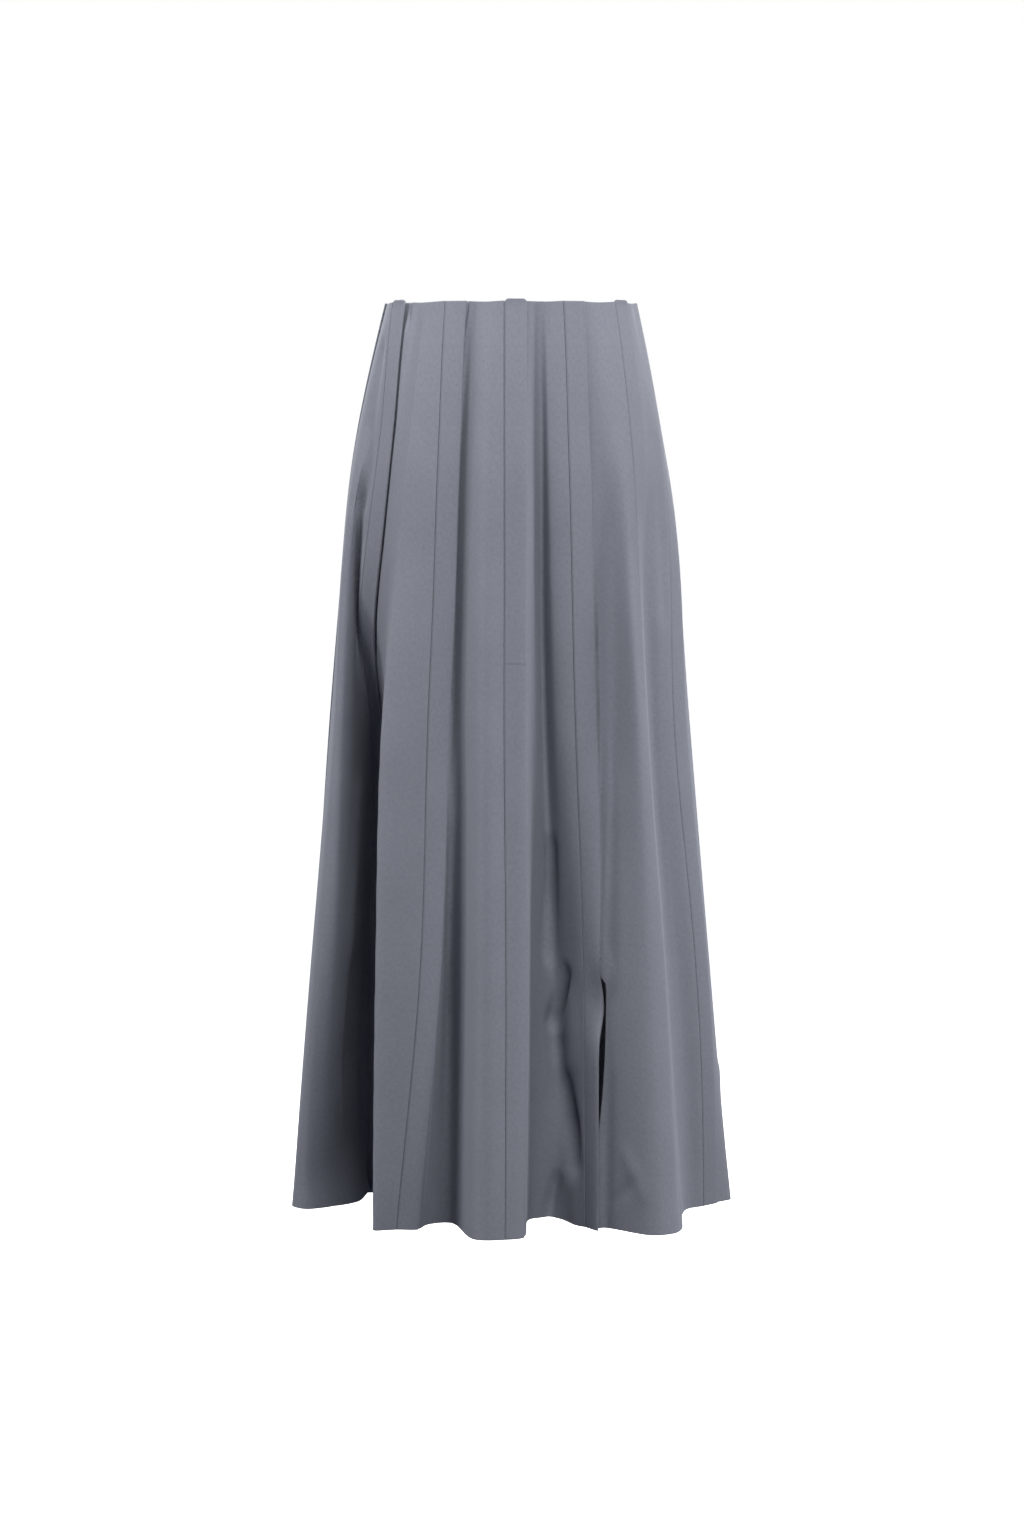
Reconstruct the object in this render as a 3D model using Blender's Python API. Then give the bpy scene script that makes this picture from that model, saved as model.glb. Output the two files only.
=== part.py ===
"""Panelled maxi skirt: twelve flared gores, each closed by a tuck strip that laps over the next gore.

The skirt is filled out as if worn. The origin is the middle of the waist opening, +Z is up, the front
faces -Y. Tables and sizes are in millimetres and degrees, and meshes are built in metres.
"""
import functools
import math

import bmesh
import bpy
import numpy as np
from mathutils import Matrix, Vector

MM = 0.001

# Driving sizes of the garment on a general figure.
LENGTH = 929.0              # waist edge to hem, measured straight down
WAIST_HALF_WIDTH = 127.7    # a 70 cm waist
WAIST_HALF_DEPTH = 94.0
HIP_DROP = 220.0            # the hip line lies this far below the waist
HIP_WIDER = 23.0            # the hip curve adds this to the half width
HIP_DEEPER = 14.0
HEM_WIDER = 73.0            # the flare adds this to the half width at the hem
HEM_DEEPER = 42.0

WALL = 1.5                  # suiting cloth with its seam allowances
STRIP_WALL = 2.0            # a tuck strip is the same cloth doubled
STRIP_WIDTH = 23.0
SEAM_GAP = 0.3
STRIP_RISE = 3.0            # every second strip stands this far above the waist edge

HEM_DRAW = 6.0              # power by which the hem's rise fades upward
LEAST_FLAT = 0.08           # share of a bend's flat width kept at the waist

SLIT_TOP = 640.0            # the seam of the slit is open below this depth
SLIT_STANDS = 5.0           # how far its seam edge stands off the gore beneath
SLIT_CREST = 720.0          # depth where it stands off most
SLIT_SPREAD = 60.0          # it lies down again this far above and below
SLIT_EASE = 30.0            # the gore beside it follows over this width
SLIT_KICK = 9.0             # how far the strip's free edge stands off at the hem

# Concealed zip in the seam at the centre back.
ZIP_TOP = 6.0               # depth of the slider's top
ZIP_LENGTH = 200.0          # depth of the tape's lower end
TAPE_WALL = 0.8
SLIDER_SIZE = (4.6, 8.0, 1.6)       # across, along the seam, thick
SLIDER_ROUNDING = 1.2
EAR_SIZE = (0.7, 3.0)               # the slider's two ears: across and along
EAR_INNER = 1.1                     # from the middle to an ear's inner side
EAR_ABOVE_PIN = 0.9
PIN_RADIUS = 0.45
PIN_HEIGHT = 3.7                    # pin's axis above the cloth
EYE_HOLE = 0.8                      # radii of the tab's eye, round the pin
EYE_RADIUS = 1.5
EYE_WIDTH = 1.6
TAB_WALL = 0.9
TAB_LENGTH = 22.0                   # pin's axis to the middle of the tab's round end
TAB_END_RADIUS = 2.6
TAB_NECK = 2.7                      # the tab is no wider than its eye this close to the pin

# Depths below the waist edge at which the folds are stated.
STATIONS = (0.0, 130.0, 270.0, 420.0, 660.0, LENGTH)

# A row a seam: at each station its bearing from the front, its share of the ellipse and the turn of
# its strip, inward from the ellipse; and how far the hem is drawn up there.
SEAM_COLUMNS = ("bearings", "reaches", "turns", "lift")
SEAMS = (
    ((-68.8, -61.8, -67.8, -94.6, -114.8, -121.7), (1.00, 0.95, 0.92, 0.78, 0.78, 0.79),
     (0, -10, 7, 31, 92, 83), 9),
    ((-31.0, -27.6, -27.1, -27.8, -28.1, -33.7), (1.00, 0.99, 0.98, 0.97, 0.95, 0.93),
     (4, 8, 12, 15, 0, 22), 0),
    ((-3.1, -2.5, -2.2, -2.1, -1.4, -1.4), (1.00, 1.02, 1.04, 1.06, 1.08, 1.11),
     (0, 2, 6, 10, 18, 28), 0),
    ((24.0, 22.1, 22.1, 22.7, 25.6, 25.9), (1.00, 0.96, 0.93, 0.90, 0.84, 0.76),
     (0, 0, -3, -8, -35, -65), 0),
    ((54.3, 48.4, 46.0, 45.6, 46.8, 44.7), (1.00, 1.02, 1.03, 1.04, 1.05, 1.09),
     (1, 8, 36, 46, 48, 48), 0),
    ((85.7, 80.5, 75.1, 71.6, 78.5, 97.3), (1.00, 0.98, 0.97, 0.95, 0.94, 0.89),
     (-1, 0, -15, -20, -32, -79), 0),
    ((119, 118, 118, 119, 121, 124), (1.00, 1.00, 1.01, 1.02, 1.03, 1.05),
     (0, 1, 3, 5, 9, 15), 0),
    ((148.5, 148, 148, 148, 149, 150), (1.00, 1.01, 1.02, 1.02, 1.04, 1.06),
     (0, 2, 5, 8, 13, 20), 0),
    ((176, 176, 176, 176.5, 177, 177), (1.00, 1.01, 1.02, 1.04, 1.06, 1.08),
     (0, 1, 4, 6, 10, 15), 0),
    ((201, 201, 200.5, 200, 199, 198), (1.00, 1.00, 1.01, 1.02, 1.03, 1.04),
     (0, 3, 6, 10, 16, 25), 0),
    ((228.5, 228, 227, 226, 222, 218), (1.00, 1.00, 1.00, 1.01, 1.01, 1.02),
     (0, 1, 3, 5, 9, 15), 0),
    ((256, 256, 255, 254, 248, 238), (1.00, 1.00, 1.00, 1.00, 1.00, 1.00),
     (0, -2, -5, -9, -14, -20), 0),
)

# A row a fold, in order round each gore: its bearing and share of the ellipse at each station, the
# flat width of its bend at the hem, and how far the hem is drawn up there.
FOLD_COLUMNS = ("gore", "bearings", "reaches", "flat", "lift")
FOLDS = (
    (0, (-51.3, -47.1, -51.1, -62.9, -76.1, -76.7), (0.95, 0.98, 0.94, 0.78, 0.61, 0.58), 0, 2),
    (0, (-42.7, -40.3, -42.3, -42.0, -39.8, -38.4), (0.99, 1.01, 1.01, 1.05, 1.03, 0.97), 10, 0),
    (1, (-18.3, -19.6, -21.7, -23.7, -27.6, -29.5), (0.97, 0.88, 0.79, 0.71, 0.64, 0.69), 0, 0),
    (1, (-15.5, -16.3, -16.8, -18.5, -22.9, -27.3), (0.99, 0.91, 0.83, 0.74, 0.65, 0.56), 0, 0),
    (1, (-10.8, -9.3, -8.8, -8.3, -7.6, -7.5), (1.00, 1.03, 1.06, 1.09, 1.11, 1.13), 0, 0),
    (2, (9.9, 9.0, 8.5, 8.6, 9.2, 11.3), (1.00, 0.98, 0.98, 0.95, 0.87, 0.50), 0, 3),
    (2, (13.2, 14.0, 15.6, 18.2, 22.8, 25.4), (0.96, 0.83, 0.73, 0.66, 0.60, 0.46), 0, 3),
    (2, (15.5, 14.8, 16.1, 18.5, 24.9, 26.7), (1.00, 0.95, 0.88, 0.82, 0.70, 0.60), 0, 0),
    (3, (41.8, 36.0, 37.3, 37.2, 35.0, 29.4), (1.00, 0.99, 0.93, 0.90, 0.89, 0.96), 0, 0),
    (3, (48.0, 42.4, 40.1, 38.8, 36.3, 33.1), (1.00, 1.02, 1.06, 1.10, 1.12, 1.15), 0, 0),
    (3, (50.5, 45.7, 43.9, 43.1, 42.5, 38.8), (1.00, 1.02, 1.04, 1.07, 1.11, 1.16), 0, 0),
    (4, (72.0, 65.7, 61.7, 62.1, 68.0, 75.7), (1.00, 0.98, 0.91, 0.87, 0.85, 0.81), 0, 0),
    (4, (77.6, 72.4, 67.4, 65.9, 72.4, 96.6), (0.99, 0.98, 0.95, 0.91, 0.86, 0.81), 0, 0),
    (5, (106.6, 105.6, 104.2, 101.7, 105.7, 106.7), (1.01, 1.00, 1.01, 1.01, 1.02, 1.06), 0, 0),
    (5, (112, 111, 110.5, 110, 113, 119), (1.00, 0.98, 0.94, 0.89, 0.83, 0.76), 10, 0),
    (6, (136, 135.5, 135.5, 135.5, 135, 133), (1.00, 0.97, 0.92, 0.87, 0.79, 0.70), 16, 0),
    (6, (143, 142, 142, 142.5, 143, 144), (1.00, 1.01, 1.03, 1.05, 1.08, 1.12), 14, 0),
    (7, (164.5, 164, 164, 164, 163.5, 162), (1.00, 0.95, 0.89, 0.84, 0.77, 0.70), 20, 0),
    (7, (170.5, 170.5, 170.5, 170.5, 170.5, 170.5), (1.00, 1.02, 1.04, 1.06, 1.09, 1.12), 14, 0),
    (8, (190.5, 190.5, 190, 189.5, 188.5, 187), (1.00, 0.96, 0.91, 0.86, 0.77, 0.68), 18, 0),
    (8, (196, 196, 195.5, 195, 194.5, 193.5), (1.00, 1.01, 1.03, 1.05, 1.08, 1.11), 14, 0),
    (9, (217, 216.5, 215.5, 214, 211, 206), (1.00, 0.95, 0.88, 0.82, 0.75, 0.68), 16, 0),
    (9, (223, 222.5, 221.5, 220, 217, 212), (1.00, 1.01, 1.02, 1.04, 1.06, 1.09), 14, 0),
    (10, (245, 243.5, 241.5, 240, 235, 229), (1.00, 0.98, 0.95, 0.93, 0.90, 0.87), 8, 0),
    (10, (250.5, 249.5, 248, 247, 241.5, 234.5), (1.00, 1.01, 1.01, 1.02, 1.03, 1.05), 8, 0),
    (11, (274.9, 273.1, 273.8, 272.7, 267.5, 266.3), (1.00, 1.01, 1.01, 1.00, 1.02, 1.02), 0, 0),
    (11, (281.1, 282.4, 282.3, 286.9, 287.1, 273.2), (1.00, 1.00, 1.01, 1.00, 0.99, 0.95), 0, 0),
    (11, (284.8, 288.5, 285.2, 284.7, 284.4, 267.4), (1.00, 0.99, 0.98, 0.93, 0.88, 0.88), 0, 0),
    (11, (288.0, 292.9, 277.3, 262.0, 262.5, 247.2), (1.00, 0.97, 0.91, 0.85, 0.78, 0.82), 0, 0),
)
GORES = len(SEAMS)
SLIT_SEAM = 3               # index of the seam that opens as the slit
ZIP_SEAM = 8                # index of the seam with the zip

# Mesh density.
ROWS = (0.0, 25.0, 70.0, 130.0, 200.0, 280.0, 370.0, 460.0, 550.0, 640.0, 720.0, 790.0, 860.0, LENGTH)
STRIP_COLUMNS = 2           # faces across a strip
GORE_COLUMNS = 17           # faces across a gore, the first of them under the strip
CHAIN_STEPS = 10            # points worked out between two marks of a section
TAB_END_SIDES = 16          # faces round the tab's lower end
NORMAL_REACH = 1.5          # half spans over which the cloth's outward direction is taken
NORMAL_DROP = 8.0
SHARP_ANGLE = 40.0          # the cloth is shaded smooth across flatter edges than this

GORE_COLOUR = (0.215, 0.225, 0.262)
STRIP_COLOUR = (0.205, 0.215, 0.252)
TAPE_COLOUR = (0.12, 0.125, 0.15)
METAL_COLOUR = (0.45, 0.46, 0.48)


def half_width(depth):
    """Half width of the skirt's ellipse at a depth below the waist."""
    hip = math.sin(math.pi / 2 * min(depth / HIP_DROP, 1.0))
    return WAIST_HALF_WIDTH + HIP_WIDER * hip + HEM_WIDER * depth / LENGTH


def half_depth(depth):
    """Half depth, front to back, of the same ellipse."""
    hip = math.sin(math.pi / 2 * min(depth / HIP_DROP, 1.0))
    return WAIST_HALF_DEPTH + HIP_DEEPER * hip + HEM_DEEPER * depth / LENGTH


def on_ellipse(bearing, reach, depth):
    """Plan point at a bearing and a share of the ellipse."""
    angle = math.radians(bearing)
    return np.array([half_width(depth) * reach * math.sin(angle),
                     -half_depth(depth) * reach * math.cos(angle)])


def at_station(values, depth):
    """Smooth curve through the values stated at the stations."""
    span = max(k for k in range(len(STATIONS) - 1) if depth >= STATIONS[k])
    rises = [(values[k + 1] - values[k]) / (STATIONS[k + 1] - STATIONS[k])
             for k in range(len(STATIONS) - 1)]
    slopes = [rises[0]] + [(a + b) / 2 for a, b in zip(rises, rises[1:])] + [rises[-1]]
    step = STATIONS[span + 1] - STATIONS[span]
    t = (depth - STATIONS[span]) / step
    return ((2 * t**3 - 3 * t**2 + 1) * values[span]
            + (t**3 - 2 * t**2 + t) * step * slopes[span]
            + (3 * t**2 - 2 * t**3) * values[span + 1]
            + (t**3 - t**2) * step * slopes[span + 1])


def gore_marks(gore, depth):
    """Marks that a gore's section runs through, as plan points with the hem's rise there."""
    seam = dict(zip(SEAM_COLUMNS, SEAMS[gore]))
    fall = depth / LENGTH

    def mark(row):
        x, y = on_ellipse(at_station(row["bearings"], depth), at_station(row["reaches"], depth), depth)
        return np.array([x, y, row["lift"] * fall ** HEM_DRAW])

    seam_mark = mark(seam)
    start = at_station(seam["bearings"], depth)
    lap = math.degrees(STRIP_WIDTH / np.linalg.norm(on_ellipse(start + 90.0, 1.0, depth)))
    chord = on_ellipse(start + lap, 1.0, depth) - on_ellipse(start, 1.0, depth)
    heading = math.atan2(chord[1], chord[0]) + math.radians(at_station(seam["turns"], depth))
    strip_edge = seam_mark + STRIP_WIDTH * np.array([math.cos(heading), math.sin(heading), 0.0])

    rows = [dict(zip(FOLD_COLUMNS, row)) for row in FOLDS if row[0] == gore]
    bends = [mark(row) for row in rows]
    across = (bends[-1] - strip_edge) / np.linalg.norm(bends[-1] - strip_edge)
    marks = [seam_mark, strip_edge]
    for row, bend in zip(rows, bends):
        half = across * row["flat"] / 2 * max(fall, LEAST_FLAT)
        marks += [bend - half, bend + half] if row["flat"] else [bend]
    return marks


def smooth_chain(marks):
    """Closed smooth curve through the marks of one section, CHAIN_STEPS points to each mark."""
    points = np.array(marks)
    before = np.roll(points, 1, axis=0)
    after = np.roll(points, -1, axis=0)
    span = np.linalg.norm(after - points, axis=1)[:, None] ** 0.5
    span_before = np.roll(span, 1, axis=0)
    pull = ((points - before) / span_before - (after - before) / (span_before + span)
            + (after - points) / span)
    pull_after = np.roll(pull, -1, axis=0)
    curve = []
    for step in range(CHAIN_STEPS):
        t = step / CHAIN_STEPS
        curve.append((2 * t**3 - 3 * t**2 + 1) * points + (t**3 - 2 * t**2 + t) * span * pull
                     + (3 * t**2 - 2 * t**3) * after + (t**3 - t**2) * span * pull_after)
    return np.stack(curve, axis=1).reshape(-1, points.shape[1])


@functools.lru_cache(maxsize=None)
def section(depth):
    """Closed curve of the whole skirt at a depth, its running length and the place of each seam."""
    marks = []
    seam_places = []
    for gore in range(GORES):
        seam_places.append(len(marks) * CHAIN_STEPS)
        marks += gore_marks(gore, depth)
    curve = smooth_chain(marks)
    closed = np.vstack([curve, curve[:1]])
    lengths = np.concatenate([[0.0], np.cumsum(np.linalg.norm(np.diff(closed[:, :2], axis=0), axis=1))])
    return closed, lengths, [lengths[place] for place in seam_places]


def gore_width(gore, depth):
    """Width of a gore's cloth from its own seam to the next, along the section."""
    seams = section(depth)[2]
    girth = section(depth)[1][-1]
    return (seams[(gore + 1) % GORES] - seams[gore]) % girth


def on_cloth(gore, along, depth):
    """Point of the outer cloth at a distance past the gore's seam, in millimetres."""
    curve, lengths, seams = section(max(depth, 0.0))
    place = (seams[gore] + along) % lengths[-1]
    x, y, lift = (np.interp(place, lengths, curve[:, axis]) for axis in range(3))
    return np.array([x, y, lift - depth])


def outward(gore, along_at, depth):
    """Outward direction of the cloth; along_at gives the distance past the seam at a depth."""
    here = along_at(depth)
    across = on_cloth(gore, here + NORMAL_REACH, depth) - on_cloth(gore, here - NORMAL_REACH, depth)
    above = max(depth - NORMAL_DROP, 0.0)
    below = min(depth + NORMAL_DROP, LENGTH)
    down = on_cloth(gore, along_at(below), below) - on_cloth(gore, along_at(above), above)
    normal = np.cross(down, across)
    return normal / np.linalg.norm(normal)


def ease(share):
    """Smooth step from 0 to 1."""
    share = min(max(share, 0.0), 1.0)
    return share * share * (3.0 - 2.0 * share)


def slit_stand(along, depth):
    """How far the strip of the slit stands off, at a distance past its seam."""
    seam = SLIT_STANDS * math.exp(-((depth - SLIT_CREST) / SLIT_SPREAD) ** 2)
    kick = SLIT_KICK * max(depth - SLIT_TOP, 0.0) / (LENGTH - SLIT_TOP)
    return seam + kick * along / STRIP_WIDTH


def layers(gore, along_at, depth, top, thickness):
    """Outer and inner point of a wall whose outer face lies top above the cloth's own level."""
    point = on_cloth(gore, along_at(depth), depth)
    normal = outward(gore, along_at, depth)
    return (point + top * normal) * MM, (point + (top - thickness) * normal) * MM


def gore_column(gore, column):
    """Distance past the seam of one column of the gore's mesh, as a function of depth."""
    def along_at(depth):
        if column <= STRIP_COLUMNS:
            return SEAM_GAP + (STRIP_WIDTH - SEAM_GAP) * column / STRIP_COLUMNS
        share = (column - STRIP_COLUMNS) / (GORE_COLUMNS - STRIP_COLUMNS)
        return STRIP_WIDTH + (gore_width(gore, depth) - STRIP_WIDTH) * share
    return along_at


def build_gore(gore):
    """One flared panel, sunk under its strip and level with the next strip at its far seam."""
    grid = []
    for depth in ROWS:
        width = gore_width(gore, depth)
        row = []
        for column in range(GORE_COLUMNS + 1):
            along_at = gore_column(gore, column)
            along = along_at(depth)
            level = ease((along - STRIP_WIDTH) / (width - STRIP_WIDTH)) - 1.0
            top = level * (STRIP_WALL + SEAM_GAP)
            if gore == SLIT_SEAM - 1:
                top += slit_stand(0.0, depth) * ease(1.0 - (width - along) / SLIT_EASE)
            row.append(layers(gore, along_at, depth, top, WALL))
        grid.append(row)
    return thick_sheet(f"gore_{gore + 1:02d}", grid, cloth_material("gore cloth", GORE_COLOUR))


def build_strip(gore):
    """The doubled tuck strip that laps the gore's first margin; every second one stands proud."""
    rows = [(depth, 0.0) for depth in ROWS]
    if gore % 2 == 0:
        corner = [math.radians(angle) for angle in (0.0, 45.0)]
        raised = [(-STRIP_RISE * math.cos(angle), STRIP_RISE * (1.0 - math.sin(angle)))
                  for angle in corner]
        rows = raised + rows
    grid = []
    for depth, inset in rows:
        row = []
        for column in range(STRIP_COLUMNS + 1):
            along = gore_column(gore, column)(depth)
            along += inset * (1.0 - 2.0 * column / STRIP_COLUMNS)
            top = slit_stand(along, depth) if gore == SLIT_SEAM else 0.0
            row.append(layers(gore, lambda _, at=along: at, depth, top, STRIP_WALL))
        grid.append(row)
    return thick_sheet(f"strip_{gore + 1:02d}", grid, cloth_material("strip cloth", STRIP_COLOUR))


def build_zip_tape():
    """Tape behind the centre-back seam, against the inner face of the gore under its strip."""
    lapped = gore_column(ZIP_SEAM, 1)(0.0)
    places = (-lapped, -lapped / 2, SEAM_GAP, lapped)
    depths = [ZIP_TOP] + [depth for depth in ROWS if ZIP_TOP < depth <= ZIP_LENGTH]
    top = -(STRIP_WALL + WALL + 2 * SEAM_GAP)
    grid = [[layers(ZIP_SEAM, lambda _, at=along: at, depth, top, TAPE_WALL) for along in places]
            for depth in depths]
    return thick_sheet("zip_tape", grid, plain_material("zip tape", TAPE_COLOUR, 0.8, 0.0))


def zip_frame():
    """Place of the slider: its middle on the cloth, X across the seam, Y up it, Z outward."""
    middle = ZIP_TOP + SLIDER_SIZE[1] / 2
    normal = Vector(outward(ZIP_SEAM, lambda _: 0.0, middle))
    up = Vector(on_cloth(ZIP_SEAM, 0.0, ZIP_TOP) - on_cloth(ZIP_SEAM, 0.0, middle)).normalized()
    across = up.cross(normal).normalized()
    up = normal.cross(across)
    place = Matrix((across, up, normal)).transposed().to_4x4()
    place.translation = Vector(on_cloth(ZIP_SEAM, 0.0, middle)) * MM
    return place


def block(low, high):
    """Box between two corners given in millimetres."""
    form = bmesh.new()
    size = Vector(high) - Vector(low)
    middle = (Vector(high) + Vector(low)) / 2
    bmesh.ops.create_cube(form, size=1.0)
    bmesh.ops.scale(form, vec=size * MM, verts=form.verts)
    bmesh.ops.translate(form, vec=middle * MM, verts=form.verts)
    return form


def rod(radius, length, height, sides=20):
    """Round rod across the seam, centred at a height above the cloth."""
    form = bmesh.new()
    bmesh.ops.create_cone(form, cap_ends=True, segments=sides, radius1=radius * MM,
                          radius2=radius * MM, depth=length * MM,
                          matrix=Matrix.Translation((0.0, 0.0, height * MM))
                          @ Matrix.Rotation(math.pi / 2, 4, "Y"))
    return form


def piece_from(name, form, place, material=None):
    """Object from a bmesh, with its place in its mesh."""
    mesh = bpy.data.meshes.new(name)
    form.transform(place)
    form.to_mesh(mesh)
    form.free()
    if material:
        mesh.materials.append(material)
    piece = bpy.data.objects.new(name, mesh)
    bpy.context.scene.collection.objects.link(piece)
    return piece


def combine(piece, tool, operation):
    """Boolean with a guide object that is not part of the model."""
    tool.hide_render = True
    tool.display_type = "WIRE"
    change = piece.modifiers.new(tool.name, "BOOLEAN")
    change.operation = operation
    change.object = tool


def build_zip_slider(place):
    """Slider with two ears and the pin that carries the tab."""
    width, height, thick = SLIDER_SIZE
    form = block((-width / 2, -height / 2, SEAM_GAP), (width / 2, height / 2, SEAM_GAP + thick))
    corners = [edge for edge in form.edges
               if abs(edge.verts[0].co.z - edge.verts[1].co.z) > thick / 2 * MM]
    bmesh.ops.bevel(form, geom=corners, offset=SLIDER_ROUNDING * MM, segments=4, profile=0.5,
                    affect="EDGES")
    slider = piece_from("zip_slider", form, place, plain_material("zip metal", METAL_COLOUR, 0.35, 1.0))
    for side in (-1, 1):
        near, far = sorted((side * EAR_INNER, side * (EAR_INNER + EAR_SIZE[0])))
        ear = block((near, -EAR_SIZE[1] / 2, SEAM_GAP + thick / 2),
                    (far, EAR_SIZE[1] / 2, PIN_HEIGHT + EAR_ABOVE_PIN))
        combine(slider, piece_from(f"guide_ear_{side}", ear, place), "UNION")
    pin = rod(PIN_RADIUS, 2 * EAR_INNER + EAR_SIZE[0], PIN_HEIGHT)
    combine(slider, piece_from("guide_pin", pin, place), "UNION")
    return slider


def build_zip_tab(place):
    """Drop-shaped pull tab that hangs from the pin by its eye."""
    form = bmesh.new()
    start = form.verts.new((-EYE_WIDTH / 2 * MM, 0.0, (PIN_HEIGHT - TAB_WALL / 2) * MM))
    outline = [start, form.verts.new((EYE_WIDTH / 2 * MM, 0.0, start.co.z))]
    outline.append(form.verts.new((EYE_WIDTH / 2 * MM, -TAB_NECK * MM, start.co.z)))
    for step in range(TAB_END_SIDES + 1):
        angle = math.pi * step / TAB_END_SIDES
        outline.append(form.verts.new((TAB_END_RADIUS * math.cos(angle) * MM,
                                       -(TAB_LENGTH + TAB_END_RADIUS * math.sin(angle)) * MM,
                                       start.co.z)))
    outline.append(form.verts.new((-EYE_WIDTH / 2 * MM, -TAB_NECK * MM, start.co.z)))
    face = form.faces.new(outline)
    grown = bmesh.ops.extrude_face_region(form, geom=[face], use_keep_orig=True)
    top = [item for item in grown["geom"] if isinstance(item, bmesh.types.BMVert)]
    bmesh.ops.translate(form, vec=(0.0, 0.0, TAB_WALL * MM), verts=top)
    bmesh.ops.recalc_face_normals(form, faces=form.faces)
    tab = piece_from("zip_tab", form, place, plain_material("zip metal", METAL_COLOUR, 0.35, 1.0))
    eye = piece_from("guide_eye", rod(EYE_RADIUS, EYE_WIDTH, PIN_HEIGHT), place)
    hole = piece_from("guide_eye_hole", rod(EYE_HOLE, 2 * EYE_WIDTH, PIN_HEIGHT), place)
    combine(tab, eye, "UNION")
    combine(tab, hole, "DIFFERENCE")
    return tab


def thick_sheet(name, grid, material):
    """Closed wall from a grid of (outer, inner) points: a bmesh grid, extruded and moved to place."""
    rows, columns = len(grid), len(grid[0])
    form = bmesh.new()
    bmesh.ops.create_grid(form, x_segments=columns - 1, y_segments=rows - 1, size=1.0)
    place = form.verts.layers.int.new("place")
    for index, vertex in enumerate(form.verts):
        vertex[place] = index
    back = bmesh.ops.extrude_face_region(form, geom=list(form.faces), use_keep_orig=True)
    inner = {vertex for vertex in back["geom"] if isinstance(vertex, bmesh.types.BMVert)}
    for vertex in form.verts:
        row, column = divmod(vertex[place], columns)
        vertex.co = grid[row][column][1 if vertex in inner else 0]
    for face in list(form.faces):
        corners = sorted(face.verts, key=lambda vertex: (vertex[place], vertex in inner))
        bmesh.utils.face_split(face, corners[0], corners[-1])
    bmesh.ops.recalc_face_normals(form, faces=list(form.faces))
    if form.calc_volume(signed=True) < 0.0:
        bmesh.ops.reverse_faces(form, faces=list(form.faces))
    mesh = bpy.data.meshes.new(name)
    form.to_mesh(mesh)
    form.free()
    mesh.shade_smooth()
    mesh.set_sharp_from_angle(angle=math.radians(SHARP_ANGLE))
    mesh.materials.append(material)
    piece = bpy.data.objects.new(name, mesh)
    bpy.context.scene.collection.objects.link(piece)
    return piece


def cloth_material(name, colour):
    """Principled material with the cloth's colour."""
    return plain_material(name, colour, roughness=0.85, metallic=0.0)


def plain_material(name, colour, roughness, metallic):
    """Principled material, made once for each name."""
    material = bpy.data.materials.get(name)
    if material is None:
        material = bpy.data.materials.new(name)
        material.use_nodes = True
        shader = material.node_tree.nodes["Principled BSDF"]
        shader.inputs["Base Color"].default_value = (*colour, 1.0)
        shader.inputs["Roughness"].default_value = roughness
        shader.inputs["Metallic"].default_value = metallic
    return material


def clear_scene():
    """Remove what a new file holds."""
    for piece in list(bpy.data.objects):
        bpy.data.objects.remove(piece, do_unlink=True)


def main():
    clear_scene()
    for gore in range(GORES):
        build_gore(gore)
        build_strip(gore)
    build_zip_tape()
    place = zip_frame()
    build_zip_slider(place)
    build_zip_tab(place)


main()
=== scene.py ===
import math

import bmesh
import bpy
import numpy as np
from mathutils import Matrix, Vector


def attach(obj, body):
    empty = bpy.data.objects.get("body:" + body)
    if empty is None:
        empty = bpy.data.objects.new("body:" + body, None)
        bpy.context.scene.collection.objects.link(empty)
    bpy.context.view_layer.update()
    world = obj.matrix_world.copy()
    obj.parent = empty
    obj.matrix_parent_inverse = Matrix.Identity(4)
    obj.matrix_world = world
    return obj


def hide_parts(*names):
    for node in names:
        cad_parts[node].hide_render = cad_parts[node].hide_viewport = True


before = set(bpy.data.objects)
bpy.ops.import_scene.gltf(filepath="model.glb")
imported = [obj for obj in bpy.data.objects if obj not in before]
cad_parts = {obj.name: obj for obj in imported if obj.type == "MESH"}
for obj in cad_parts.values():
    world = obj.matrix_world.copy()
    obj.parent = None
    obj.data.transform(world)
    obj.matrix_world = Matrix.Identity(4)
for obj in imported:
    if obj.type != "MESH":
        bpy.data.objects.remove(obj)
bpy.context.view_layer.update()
print("frame loaded")

mm = 0.001

# The garment on a general figure, in millimetres and degrees; +Z is up and the front faces -Y.
garment = {
    "length": 929.0,             # waist edge to hem, straight down
    "waistHalfWidth": 127.7,
    "waistHalfDepth": 94.0,
    "hipDrop": 220.0,
    "hipWider": 23.0,
    "hipDeeper": 14.0,
    "hemWider": 73.0,
    "hemDeeper": 42.0,
    "stations": (0.0, 130.0, 270.0, 420.0, 660.0, 929.0),    # depths at which the tables state the folds
    "hemDraw": 6.0,              # power by which the hem's rise fades upward
    "leastFlat": 0.08,           # share of a bend's flat width kept at the waist
    "chainSteps": 24,            # points worked out between two marks of a section
}

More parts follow.
